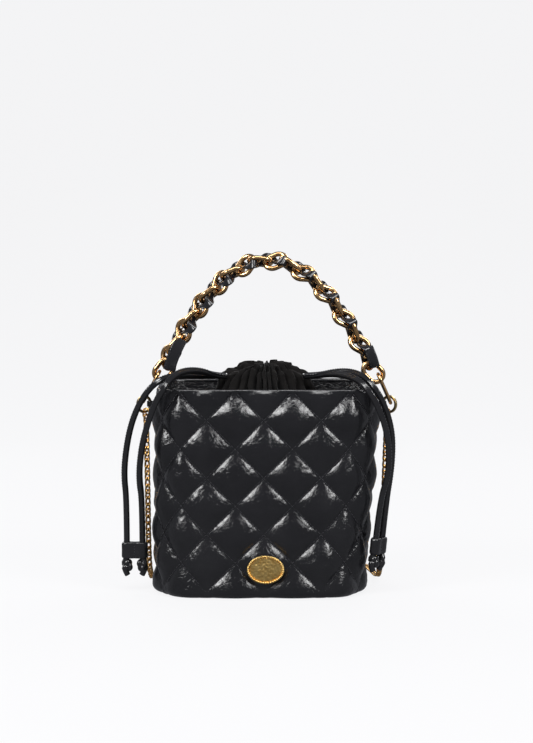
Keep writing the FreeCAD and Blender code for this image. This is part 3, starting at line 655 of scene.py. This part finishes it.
def quilt_relief(from_front, around, height, points):
    """How far the leather lies outside the CAD wall (negative: inside), in metres."""
    first, second = quilt_phases(from_front, around, height)
    near_first = np.abs(first - np.round(first)) * LINE_SPACING
    near_second = np.abs(second - np.round(second)) * LINE_SPACING
    puff = pillow(near_first) * pillow(near_second)
    relief = -QUILT_DEPTH * (1 - puff)
    dip = np.exp(-(near_first / (0.8 * MM)) ** 2) + np.exp(-(near_second / (0.8 * MM)) ** 2)
    relief = relief - STITCH_DIP * np.clip(dip, 0, 1)
    # puckers run off each stitch line and die out across the quilt
    ripple = noise_at(points, 70.0, 3.0, 2)
    for near, run in ((near_first, second), (near_second, first)):
        wave = np.sin(run * 2 * math.pi * 6.5 + ripple * 5.0)
        wave = wave + 0.5 * np.sin(run * 2 * math.pi * 15.3 + ripple * 9.0)
        fade = np.exp(-near / (4.6 * MM)) * np.clip(near / (1.2 * MM), 0, 1)
        relief = relief + PUCKER_DEPTH * wave * fade
    # broad dents and sharp creases of worn, crushed leather
    dents = noise_at(points, 45.0, 11.0, 3)
    crease = 1 - np.abs(noise_at(points, 62.0, 23.0, 3)) * 3.2
    slump = noise_at(points, 21.0, 41.0, 2)
    worn = DENT_DEPTH * dents + SLUMP_DEPTH * slump - CREASE_DEPTH * np.clip(crease, 0, 1) ** 2
    return relief + worn * puff


def rim_lift(point):
    """The rim stands a little higher at the back: rise of a point near it."""
    back = np.clip((point[:, 1] / BASE_PLAN[1] + 0.6) / 1.4, 0, 1)
    near = np.clip((point[:, 2] / RIM_HEIGHT - 0.6) / 0.4, 0, 1)
    lift = FRONT_LIFT + BACK_LIFT * back * back * (3 - 2 * back)
    return (lift * near)[:, None] * np.array([0, 0, 1.0])


def wall_rows():
    """Heights of the wall's rows, closer where it rolls under towards the base."""
    return np.concatenate([np.linspace(0.6, 9.0, 15)[:-1] * MM, np.arange(9.0 * MM, 174.6 * MM, 1.45 * MM)])


def roll_inset(height):
    """How far the wall has rolled under at a height near the base."""
    below = max(ROLL - height, 0.0)
    return ROLL - math.sqrt(ROLL ** 2 - below ** 2)


def make_body():
    """The quilted leather wall, turned over the rim."""
    u = np.arange(COLUMNS) / COLUMNS
    rows = []
    for height in wall_rows():
        point, normal, from_front, around = plan_point(u, height)
        relief = quilt_relief(from_front, around, height, point)
        low = np.clip((height - SEAM_HEIGHT) / (14 * MM), 0, 1)
        top = np.clip((176.5 * MM - height) / (6 * MM), 0, 1)
        fold = max(height - FOLD_FROM, 0.0) / (RIM_HEIGHT - FOLD_FROM)
        relief = relief * (0.6 + 0.4 * low) * (0.35 + 0.65 * top ** 0.7) - FOLD_DEPTH * fold ** 2
        relief = relief - roll_inset(height)
        side_seam = np.abs(point[:, 1]) / (1.1 * MM)
        relief = relief - 0.8 * MM * np.exp(-side_seam ** 2)
        rows.append(point + normal * relief[:, None] + rim_lift(point))
    # the top edge turns over in a soft roll
    point, normal, _, _ = plan_point(u, RIM_HEIGHT - 3 * MM)
    wave = 0.25 * MM * noise_at(point, 60.0, 5.0, 3)
    for turn in np.linspace(0.12, 1.0, 12) * math.pi:
        inset = FOLD_DEPTH + EDGE_ROLL * (1 - math.cos(turn))
        rise = EDGE_HEIGHT + EDGE_RISE * math.sin(turn)
        rows.append(point * (1, 1, 0) + (0, 0, rise) + (0, 0, 1) * wave[:, None] - normal * inset
                    + rim_lift(point))
    shell = place(grid_object("quilted_leather_body", np.array(rows)), "bag", BODY_LEATHER,
                  ["quilted_body_front", "quilted_body_back", "quilt_padding"])


def make_quilt_stitches():
    """Thread along the stitch lines, in short stitches at the bottom of the grooves."""
    builder = Builder()
    stitch = 3.6 * MM
    rise = stitch * QUILT_UP / math.hypot(QUILT_ACROSS, QUILT_UP)
    heights = np.arange(SEAM_HEIGHT + 4 * MM, 173 * MM, rise)
    u = np.arange(3000) / 3000
    for height in heights:
        point, normal, from_front, around = plan_point(u, height)
        first, second = quilt_phases(from_front, around, height)
        for family, sign in ((first, 1.0), (second, -1.0)):
            off = family - np.round(family)
            for i in np.nonzero((off[:-1] * off[1:] < 0) & (np.abs(off[:-1]) < 0.2))[0]:
                across = np.array([normal[i][1], -normal[i][0], 0]) * -1.0
                lean = unit(across * -sign * QUILT_ACROSS + np.array([0, 0, 1.0]) * QUILT_UP)
                third = np.cross(normal[i], lean)
                depth = QUILT_DEPTH + STITCH_DIP - 0.55 * MM + roll_inset(height)
                centre = point[i] - normal[i] * depth + rim_lift(point[i:i + 1])[0]
                builder.add(*blob(centre, (normal[i], third, lean), np.array((0.3, 0.28, 1.35)) * MM))
    place(builder.object("quilt_stitches"), "bag", THREAD)


make_body()
make_quilt_stitches()


def make_base():
    """Leather base, its edge rolled up to the seam with the wall."""
    u = np.arange(COLUMNS // 2) / (COLUMNS // 2)
    rows = []
    for inset, height in ((5.0, 2.6), (5.4, 1.5), (6.4, 0.7), (7.8, 0.35)):
        point, normal, _, _ = plan_point(u, height * MM)
        rows.append(point - normal * inset * MM)
    edge = rows[-1]
    centre = edge.mean(axis=0)
    for share in (0.97, 0.9, 0.75, 0.5, 0.25, 0.06):
        row = centre + (edge - centre) * share
        row[:, 2] = 0.2 * MM + 0.15 * MM * noise_at(row, 30.0, 9.0, 2) * (share < 0.9)
        rows.append(row)
    builder = Builder()
    builder.add_grid(np.array(rows), flip=True)
    last = (len(rows) - 1) * len(u)
    builder.faces.append(tuple(last + c for c in range(len(u))))
    place(builder.object("base_leather"), "bag", BODY_LEATHER, ["base_panel", "base_board"])


def make_facing():
    """Wrinkled leather facing inside the rim."""
    u = np.arange(COLUMNS) / COLUMNS
    rows = []
    for height in np.linspace(174.6, 150.2, 18) * MM:
        point, normal, _, _ = plan_point(u, height)
        wrinkle = noise_at(point * (1, 1, 0.5), 55.0, 31.0, 4)
        depth = 6.7 * MM + 0.35 * MM + 0.7 * MM * wrinkle
        rows.append(point - normal * np.maximum(depth, FACING_INSET)[:, None] + rim_lift(point))
    place(grid_object("rim_facing_leather", np.array(rows)), "bag", FACING_LEATHER,
          ["rim_facing"])


make_base()
make_facing()


# ---------------------------------------------------------------- drawstring collar
COLLAR_X = 0.62 * RIM_SHIFT
PLEATS = 27


def oval_round(turn, half_width, half_depth, squareness=2.2):
    """An oval a little squarer than an ellipse."""
    c, s = np.cos(turn), np.sin(turn)
    reach = np.abs(c / half_width) ** squareness + np.abs(s / half_depth) ** squareness
    radius = reach ** (-1 / squareness)
    return radius * c, radius * s


# rows of the cloth from the foot up to the neck, out over the ruffle and back into the mouth:
# (half width, half depth, height, depth of the pleats), in mm
COLLAR_ROWS = [
    (92.5, 54.8, 160.0, 0.7), (84.0, 50.0, 159.5, 2.2), (68.0, 42.0, 161.5, 3.5), (52.0, 33.0, 165.0, 4.9),
    (41.5, 26.0, 170.5, 5.7), (38.0, 24.0, 176.0, 5.7), (37.5, 22.5, 181.0, 4.1), (38.5, 21.0, 185.5, 3.0),
    (38.0, 20.0, 189.5, 2.7), (31.0, 17.5, 192.2, 4.6), (23.0, 14.5, 192.8, 5.1), (19.5, 13.0, 194.5, 5.7),
    (19.5, 13.0, 197.2, 5.9), (16.5, 11.0, 198.6, 5.4), (12.5, 8.8, 197.5, 4.3), (10.0, 7.2, 193.5, 3.2),
    (9.0, 6.4, 188.0, 1.9)]


def make_collar():
    """Gathered cloth mouth: funnel, neck, and the pleated ruffle that stands above the cords."""
    turn = full_turn(540)
    rows = np.array(COLLAR_ROWS)
    fine = np.linspace(0, len(rows) - 1, 90)
    smooth = np.stack([np.interp(fine, np.arange(len(rows)), rows[:, k]) for k in range(4)], axis=1)
    for _ in range(6):
        smooth[1:-1] = (smooth[:-2] + 2 * smooth[1:-1] + smooth[2:]) / 4
    grid = []
    for k, (half_width, half_depth, height, pleat) in enumerate(smooth):
        level = k / len(smooth)
        x, y = oval_round(turn, half_width * MM, half_depth * MM)
        drift = noise_at(np.stack([np.cos(turn), np.sin(turn), 0 * turn + level * 1.3], axis=1), 2.2, 4.0, 2)
        phase = PLEATS * turn + 2.4 * drift + 0.35 * np.sin(5 * turn)
        fold = np.sin(phase) + 0.25 * np.sin(2 * phase + 1.0)
        uneven = 1 + 0.8 * noise_at(np.stack([x, y, 0 * x + height * MM], axis=1), 75.0, 8.0, 2)
        out = np.stack([np.cos(turn), np.sin(turn)], axis=1)
        lump = noise_at(np.stack([x, y, 0 * x + 0.2], axis=1), 130.0, 2.0, 2)
        rise = 0.3 * pleat * MM * np.cos(phase * 0.5 + drift) + 0.45 * pleat * MM * lump
        shift = (pleat * MM * fold * uneven)[:, None] * out
        grid.append(np.stack([COLLAR_X + x + shift[:, 0], y + shift[:, 1], height * MM + rise], axis=1))
    collar = place(grid_object("gathered_cloth_collar", np.array(grid)), "bag", COLLAR_CLOTH,
                   ["drawstring_collar", "drawcord_front_channel", "drawcord_back_channel"])


make_collar()


# ---------------------------------------------------------------- keepers, tabs
KEEPER_HEIGHT = 14 * MM
KEEPER_THICK = 9.4 * MM
CORD_SPACING = 13.6 * MM
TAB_THICK = 1.0 * MM


# share of a keeper's height, and of its full outline there
KEEPER_ROWS = [(0.0, 0.55), (0.0, 0.86), (0.05, 0.95), (0.12, 1.0), (0.3, 1.0), (0.5, 0.99), (0.7, 1.0),
               (0.88, 1.0), (0.95, 0.95), (1.0, 0.86), (1.0, 0.55)]


def keeper_outline(count=72):
    """Plan of a keeper: round over each cord and drawn in between them."""
    turn = full_turn(count)
    x = (CORD_SPACING / 2) * np.tanh(2.2 * np.cos(turn)) + KEEPER_THICK / 2 * np.cos(turn)
    waist = 1 - 0.3 * np.exp(-(x / (3.4 * MM)) ** 2)
    y = KEEPER_THICK / 2 * np.sign(np.sin(turn)) * np.abs(np.sin(turn)) ** 0.75 * waist
    return np.stack([x, y], axis=1)


def make_keeper(name, first, second):
    """Stitched leather band that slides on a pair of strands."""
    low_a, low_b = np.array(STRANDS[first][-1]), np.array(STRANDS[second][-1])
    up = unit(np.array(STRANDS[first][-2]) - low_a)
    across = unit((low_b - low_a) - up * np.dot(low_b - low_a, up))
    front = np.cross(across, up)
    if front[1] > 0:
        front = -front
    base = (low_a + low_b) / 2 + up * 0.35 * MM
    outline = keeper_outline()
    rows = []
    edge = 1.1 * MM
    for share, shrink in KEEPER_ROWS:
        scale = 1 - (1 - shrink) * edge * 6 / KEEPER_THICK
        flat = outline * scale
        level = base + up * KEEPER_HEIGHT * share
        rows.append(level + flat[:, :1] * across + flat[:, 1:] * front)
    flip = np.dot(np.cross(across, front), up) < 0
    place(grid_object(name + "_leather", np.array(rows), caps=True, flip=flip), name,
          TRIM_LEATHER, [name])
    builder = Builder()
    for sign in (1, -1):
        depth = KEEPER_THICK / 2 * 0.7
        line = np.array([base + up * KEEPER_HEIGHT * share + front * sign * depth
                         for share in np.linspace(0.08, 0.92, 12)])
        stitch_row(builder, line, front * sign, 0.1 * MM, 2.4 * MM)
    place(builder.object(name + "_stitches"), name, THREAD)


make_keeper("keeper_left", "back_left", "front_left")
make_keeper("keeper_right", "front_right", "back_right")


def make_tab(side):
    """Leather loop that holds a ring in the side seam."""
    low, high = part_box("side_tab_" + side)
    hand = -1.0 if side == "left" else 1.0
    outer = max(abs(low.x), abs(high.x))
    inner = min(abs(low.x), abs(high.x))
    middle = (low.z + high.z) / 2
    radius = (high.y - low.y) / 2 - 0.5 * MM
    hold = outer - radius - 0.5 * MM
    turn = np.linspace(-0.78 * math.pi, 0.78 * math.pi, 26)
    path = [(inner, -0.7 * MM)] + [(hold + radius * math.cos(a), radius * math.sin(a)) for a in turn]
    path.append((inner, 0.7 * MM))
    line = np.array([(hand * x, y, middle) for x, y in path])
    line = evenly(line, 0.6 * MM)
    section = flat_section(high.z - low.z, TAB_THICK, 20, (0.5, 0.3))
    upward = np.broadcast_to((0, 0, 1.0), line.shape)
    normal = np.cross(unit(np.gradient(line, axis=0)), upward)
    tab = grid_object("side_tab_leather_" + side, carry(line, section, normal, upward), caps=True)
    place(tab, "bag", TRIM_LEATHER, ["side_tab_" + side])


make_tab("left")
make_tab("right")


# ---------------------------------------------------------------- handle strip
LINK_COUNT = 22
ARCH_TOP = 288 * MM
ARCH_CENTRE = 7 * MM
ARCH_HALF_SPAN = 92.6 * MM
ARCH_DROP = 11.3
ARCH_Y = -4.1865 * MM
STRIP_WIDTH = 8.8 * MM
STRIP_THICK = 1.8 * MM
# At a link, between links, at the next link and between again: offset to the front and
# outwards in mm, and twist of the strip's width from the plane of the arch in degrees
STRIP_WEAVE = [(0.0, 0.0, 15.0), (-7.2, 2.6, -20.0), (-0.4, 0.0, -78.0), (7.3, 0.0, -24.0)]
# The front passes lean over to the right-hand side of the chain by up to this much
STRIP_DRIFT = 4.4 * MM
STRIP_DRIFT_REACH = 35 * MM


def arch_stations(count):
    """X of evenly spaced points along the handle's arch."""
    x = np.linspace(-ARCH_HALF_SPAN, ARCH_HALF_SPAN, 4001)
    step = np.hypot(np.diff(x), np.diff(ARCH_DROP * x ** 2))
    run = np.concatenate([[0], np.cumsum(step)])
    return np.interp(np.linspace(0, run[-1], count), run, x) + ARCH_CENTRE


def ribbon(line, width_way, section):
    """Grid of a strap along a line, its width turned to width_way."""
    tangent = unit(np.gradient(line, axis=0))
    across = unit(width_way - (width_way * tangent).sum(1, keepdims=True) * tangent)
    face = np.cross(tangent, across)
    return carry(line, section, face, across)


def make_strip():
    """Leather strip woven through the chain's links, twisting as it goes."""
    toward = np.array([0, -1.0, 0])
    centres, ways = [], []
    for k, x in list(enumerate(arch_stations(2 * LINK_COUNT - 1)))[1:-1]:
        front, rise, twist = STRIP_WEAVE[k % 4]
        lean = math.atan(-2 * ARCH_DROP * (x - ARCH_CENTRE))
        outward = np.array([-math.sin(lean), 0, math.cos(lean)])
        point = np.array([x, ARCH_Y, ARCH_TOP - ARCH_DROP * (x - ARCH_CENTRE) ** 2])
        drift = STRIP_DRIFT * math.tanh(x / STRIP_DRIFT_REACH) if k % 4 == 3 else 0.0
        turn = math.radians(twist)
        centres.append(point + toward * front * MM + outward * (rise * MM + drift))
        ways.append(outward * math.cos(turn) + toward * math.sin(turn))
    centres, ways = np.array(centres), np.array(ways)
    at = np.linspace(0, len(centres) - 1, 620)
    line, way = cubic_rows(centres, at), cubic_rows(ways, at)
    strap = ribbon(line, way, flat_section(STRIP_WIDTH, STRIP_THICK))
    place(grid_object("woven_leather_strip", strap, caps=True), "handle", STRIP_LEATHER,
          ["handle_leather_strip"])


# ends of the strip, folded flat over the outer links: centre line, width
STRIP_ENDS = {
    "left": ([(-0.0685, -0.0105, 0.2195), (-0.0725, -0.0128, 0.2115), (-0.0765, -0.0132, 0.202),
              (-0.0795, -0.0125, 0.1925)], 10.6 * MM),
    "right": ([(0.0945, -0.0105, 0.2125), (0.0970, -0.0126, 0.2065), (0.0990, -0.0128, 0.2005),
               (0.1005, -0.0112, 0.195)], 8.8 * MM),
}


def make_strip_end(side):
    """Doubled and stitched end of the strip."""
    route, width = STRIP_ENDS[side]
    route = np.array(route)
    at = np.linspace(0, len(route) - 1, 40)
    line = cubic_rows(route, at)
    tangent = unit(np.gradient(line, axis=0))
    way = unit(np.cross(tangent, (0, -1.0, 0)))
    builder = Builder()
    for depth in (0.0, 1.9):
        layer = line + np.array([0, 1.0, 0]) * depth * MM
        builder.add_grid(ribbon(layer, way, flat_section(width, STRIP_THICK)), caps=True)
    place(builder.object("handle_strip_end_" + side), "handle", STRIP_LEATHER)
    builder = Builder()
    for edge in (-1, 1):
        row = line + way * edge * (width / 2 - 1.3 * MM)
        stitch_row(builder, row[2:-2], np.array([0, -1.0, 0]), STRIP_THICK / 2, 2.4 * MM, (0.3, 0.3, 0.8))
    place(builder.object("handle_strip_end_stitches_" + side), "handle", THREAD)


def cubic(values, at):
    """Smooth curve through evenly numbered values."""
    index = np.clip(np.floor(at).astype(int), 0, len(values) - 2)
    t = at - index
    before = values[np.maximum(index - 1, 0)]
    after = values[np.minimum(index + 2, len(values) - 1)]
    a, b = values[index], values[index + 1]
    return 0.5 * (2 * a + (b - before) * t + (2 * before - 5 * a + 4 * b - after) * t ** 2
                  + (3 * a - before - 3 * b + after) * t ** 3)


def cubic_rows(rows, at):
    """Smooth line through evenly numbered points."""
    return np.stack([cubic(rows[:, k], at) for k in range(3)], axis=1)


make_strip()
make_strip_end("left")
make_strip_end("right")


# ---------------------------------------------------------------- plaque
BEADS = 44
HAMMER_SCALE = 430.0
HAMMER_DEPTH = 0.55
PLAQUE_LIFT = 2.6 * MM


def make_plaque():
    """Hammered oval plaque with a beaded rim."""
    low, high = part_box("emblem_plaque")
    centre = (low + high) / 2
    half_width, half_height = (high.x - low.x) / 2, (high.z - low.z) / 2
    front = low.y - PLAQUE_LIFT
    back = front + 2 * MM
    turn = full_turn(180)
    rim = [(0.1, 0.0), (0.97, 0.0), (1.0, 0.3), (1.0, 1.1), (0.97, 1.5), (0.9, 1.45), (0.86, 1.1)]
    dome = [(share, 1.15 + 0.75 * math.cos(share / 0.84 * math.pi / 2))
            for share in np.linspace(0.84, 0.01, 28)]
    rows = []
    for share, depth in rim + dome:
        x = centre.x + half_width * share * np.cos(turn)
        z = centre.z + half_height * share * np.sin(turn)
        flat = np.stack([x, 0 * x, z], axis=1)
        hollow = np.zeros(len(x))
        if share < 0.85:
            hollow = np.array([noise.voronoi(Vector(p) * HAMMER_SCALE)[0][0] for p in flat])
        rows.append(np.stack([x, back - (depth - HAMMER_DEPTH * (1 - hollow)) * MM, z], axis=1))
    builder = Builder()
    builder.add_grid(np.array(rows), caps=True)
    for k in range(BEADS):
        a = 2 * math.pi * k / BEADS
        at = (centre.x + half_width * 0.935 * math.cos(a), back - 1.5 * MM,
              centre.z + half_height * 0.93 * math.sin(a))
        builder.add(*blob(at, np.eye(3), np.array((0.95, 0.75, 0.95)) * MM))
    place(builder.object("plaque_hammered"), "bag", PLAQUE_METAL, ["emblem_plaque"])


make_plaque()


# ---------------------------------------------------------------- carried-over CAD nodes
# how far the handle's links are swollen past the CAD's, since the photograph's wire is thicker
PLATING = 0.22 * MM


def dress(node, material):
    """Give a CAD node that stays its material."""
    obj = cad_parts[node]
    obj.data.materials.clear()
    obj.data.materials.append(material)


def make_link(node):
    """A link of the handle, its wire a little thicker than the CAD link's."""
    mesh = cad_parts[node].data.copy()
    points, normals = np.empty(len(mesh.vertices) * 3), np.empty(len(mesh.vertices) * 3)
    mesh.vertices.foreach_get("co", points)
    mesh.vertex_normals.foreach_get("vector", normals)
    mesh.vertices.foreach_set("co", points + normals * PLATING)
    mesh.polygons.foreach_set("use_smooth", [True] * len(mesh.polygons))
    place(bpy.data.objects.new("curb_" + node, mesh), "handle", HANDLE_METAL, [node])


for number in range(1, LINK_COUNT + 1):
    make_link("handle_link_%02d" % number)
for side_name in ("left", "right"):
    dress("connecting_link_" + side_name, HANDLE_METAL)
    dress("ring_" + side_name, RING_METAL)
dress("emblem_washers", RING_METAL)
dress("lining_wall", LINING_CLOTH)
dress("lining_floor", LINING_CLOTH)


# ---------------------------------------------------------------- floor and light
PAPER_GLOW = 0.855
SURROUND_GLOW = 0.2


def make_stage():
    """Pale seamless paper: floor, bend and wall."""
    profile = [(-3.0, 0.0), (1.2, 0.0)]
    profile += [(1.2 + 0.8 * math.sin(a), 0.8 - 0.8 * math.cos(a)) for a in np.linspace(0.1, 1.5, 12)]
    profile.append((2.0, 4.0))
    points = [(x, y, z) for y, z in profile for x in (-4.0, 4.0)]
    faces = [(2 * k, 2 * k + 1, 2 * k + 3, 2 * k + 2) for k in range(len(profile) - 1)]
    paper = mesh_object("paper", points, faces)
    SCENE.collection.objects.link(paper)
    material, nodes, links, shader = new_material("paper")
    where = object_space(nodes)
    fibre = noise_node(nodes, links, where, 300.0, 3.0, 0.5)
    links.new(ramp_node(nodes, links, fibre, [(0.0, (0.058, 0.058, 0.06)), (1.0, (0.064, 0.064, 0.066))]),
              shader.inputs["Base Color"])
    shader.inputs["Roughness"].default_value = 0.9
    shader.inputs["Specular IOR Level"].default_value = 0.1
    shader.inputs["Emission Color"].default_value = (1.0, 1.0, 1.01, 1.0)
    shader.inputs["Emission Strength"].default_value = PAPER_GLOW
    paper.data.materials.append(material)
    # the dark studio, and not the paper, is what the leather and metal mirror
    paper.visible_glossy = False


def area_light(name, where, aim, size, power):
    """A soft box that looks at a point."""
    data = bpy.data.lights.new(name, "AREA")
    data.shape = "RECTANGLE"
    data.size, data.size_y = size
    data.energy = power
    lamp = bpy.data.objects.new(name, data)
    SCENE.collection.objects.link(lamp)
    lamp.location = where
    lamp.rotation_euler = (Vector(aim) - Vector(where)).to_track_quat("-Z", "Y").to_euler()


def make_light():
    """Overhead and side soft boxes over a dim surround."""
    world = bpy.data.worlds.new("studio")
    SCENE.world = world
    world.use_nodes = True
    world.node_tree.nodes["Background"].inputs["Color"].default_value = (0.9, 0.92, 1.0, 1.0)
    world.node_tree.nodes["Background"].inputs["Strength"].default_value = SURROUND_GLOW
    target = (0, 0, 0.1)
    area_light("top", (0.0, -0.7, 1.4), target, (0.9, 0.35), 9)
    area_light("left", (-0.95, -0.9, 0.98), target, (0.5, 0.6), 15)
    area_light("right", (0.97, -0.9, 0.98), target, (0.5, 0.6), 13)
    area_light("back_left", (-0.8, 1.15, 1.0), target, (0.6, 0.6), 7)
    area_light("back_right", (0.8, 1.15, 1.0), target, (0.6, 0.6), 7)
    SCENE.view_settings.view_transform = "Standard"


make_stage()
make_light()
